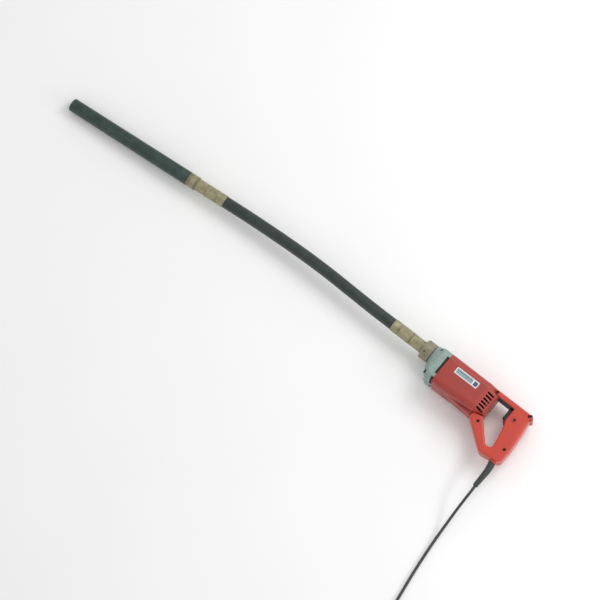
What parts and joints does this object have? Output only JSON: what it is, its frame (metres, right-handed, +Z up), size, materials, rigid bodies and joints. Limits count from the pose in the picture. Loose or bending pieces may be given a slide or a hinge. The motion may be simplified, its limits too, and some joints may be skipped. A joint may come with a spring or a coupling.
{
  "type": "concrete vibrator",
  "caption": "Hand-held electric concrete vibrator: red geared motor with a loop handle, rubber hose with flexible shaft, and a slim steel vibrating head, lying on its side.",
  "frame": {"origin": "on the ground under the motor casing's flat side, below the motor's axis", "axes": "+X along the tool from head to handle, +Y from the grip side to the tool's top, +Z up from the ground"},
  "size_m": [1.5839, 0.714, 0.0885],
  "materials": {
    "casing_red": "moulded, satin",
    "handle_red": "moulded, satin",
    "cast_alloy": "die cast, painted thin",
    "bronze": "dull, turned",
    "nut_bronze": "dull, turned",
    "hose_rubber": "smooth rubber",
    "head_steel": "blackened steel",
    "cord_rubber": "matt rubber",
    "black_plastic": "moulded",
    "button_plastic": "moulded",
    "label_foil": "printed foil",
    "steel": "ground",
    "screw_steel": "black oxide",
    "spring_steel": "bright wire",
    "lamination": "stacked sheets",
    "copper": "enamelled copper wire",
    "carbon": "carbon",
    "capacitor_blue": "shrink sleeve"
  },
  "bodies": {
    "motor_unit": {"motor_casing": "casing_red", "gear_cover": "cast_alloy", "gear_plate": "cast_alloy", "baffle_ring": "black_plastic", "cover_screws": "screw_steel", "coupling_nut": "nut_bronze", "drive_coupler": "bronze", "drive_ferrule": "bronze", "rating_label": "label_foil", "spindle_front_bearing": "steel", "spindle_rear_bearing": "steel", "armature_front_bearing": "steel", "armature_rear_bearing": "steel", "bearing_sleeve": "cord_rubber", "stator_core": "lamination", "stator_coils": "copper", "brush_holders": "black_plastic", "carbon_brushes": "carbon", "brush_springs": "spring_steel", "handle_upper_half": "handle_red", "handle_lower_half": "handle_red", "handle_screws": "screw_steel", "trigger_spring": "spring_steel", "switch_body": "black_plastic", "noise_capacitor": "capacitor_blue", "cord_clamp": "black_plastic", "cord_inner_end": "cord_rubber", "cord_boot": "cord_rubber", "mains_cord": "cord_rubber", "cord_coil": "cord_rubber", "cord_tail": "cord_rubber", "plug_body": "black_plastic", "plug_pins": "steel", "hose_rear": "hose_rubber"},
    "armature": {"armature_shaft": "steel", "drive_pinion": "steel", "armature_core": "lamination", "armature_windings": "copper", "commutator": "copper", "cooling_fan": "black_plastic"},
    "spindle_drive": {"spindle": "steel", "spindle_gear": "steel", "core_rear": "steel"},
    "trigger_lever": {"trigger": "black_plastic"},
    "lock_pin": {"lock_button": "button_plastic"},
    "hose_part_2": {"hose_second": "hose_rubber"},
    "hose_part_3": {"hose_third": "hose_rubber"},
    "head": {"hose_front": "hose_rubber", "head_sleeve": "bronze", "head_collar": "bronze", "shaft_seal": "cord_rubber", "head_tube": "head_steel", "head_tip": "head_steel", "rotor_rear_bearing": "steel", "rotor_front_bearing": "steel"},
    "core_part_2": {"core_second": "steel"},
    "core_part_3": {"core_third": "steel"},
    "rotor": {"core_front": "steel", "eccentric_rotor": "steel"}
  },
  "joints": [
    {"name": "armature_spin", "type": "hinge", "parent": "motor_unit", "child": "armature", "pos_m": [-0.03, 0, 0.044], "axis": [1, 0, 0], "continuous": true},
    {"name": "spindle_spin", "type": "hinge", "parent": "motor_unit", "child": "spindle_drive", "pos_m": [-0.03, 0.019, 0.044], "axis": [1, 0, 0], "continuous": true},
    {"name": "hose_bend_rear", "type": "hinge", "parent": "motor_unit", "child": "hose_part_2", "pos_m": [-0.2795, 0.019, 0.044], "axis": [0, 0, 1], "range_deg": [-15, 15], "stiffness_Nm_per_rad": 25},
    {"name": "hose_bend_middle", "type": "hinge", "parent": "hose_part_2", "child": "hose_part_3", "pos_m": [-0.44942, 0.02375, 0.04222], "axis": [0, 0, 1], "range_deg": [-15, 15], "stiffness_Nm_per_rad": 25},
    {"name": "hose_bend_front", "type": "hinge", "parent": "hose_part_3", "child": "head", "pos_m": [-0.61916, 0.01663, 0.03599], "axis": [0, 0, 1], "range_deg": [-15, 15], "stiffness_Nm_per_rad": 25},
    {"name": "core_2_spin", "type": "hinge", "parent": "hose_part_2", "child": "core_part_2", "pos_m": [-0.2795, 0.019, 0.044], "axis": [0.9996, -0.0279, 0.0105], "continuous": true},
    {"name": "core_3_spin", "type": "hinge", "parent": "hose_part_3", "child": "core_part_3", "pos_m": [-0.44942, 0.02375, 0.04222], "axis": [0.9985, 0.0418, 0.0366], "continuous": true},
    {"name": "rotor_spin", "type": "hinge", "parent": "head", "child": "rotor", "pos_m": [-0.61916, 0.01663, 0.03599], "axis": [0.9962, 0.0802, 0.0327], "continuous": true},
    {"name": "trigger_slide", "type": "slide", "parent": "motor_unit", "child": "trigger_lever", "axis": [1, 0, 0], "range_m": [0, 0.006], "stiffness_N_per_m": 800, "springref_m": -0.006, "deforming": ["trigger_spring"]},
    {"name": "lock_button_slide", "type": "slide", "parent": "motor_unit", "child": "lock_pin", "axis": [0, 0, -1], "range_m": [0, 0.003], "stiffness_N_per_m": 400, "springref_m": -0.002}
  ],
  "couplings": [
    {"joint": "spindle_spin", "follows": "armature_spin", "ratio": -0.46154},
    {"joint": "core_2_spin", "follows": "armature_spin", "ratio": -0.46154},
    {"joint": "core_3_spin", "follows": "armature_spin", "ratio": -0.46154},
    {"joint": "rotor_spin", "follows": "armature_spin", "ratio": -0.46154}
  ]
}
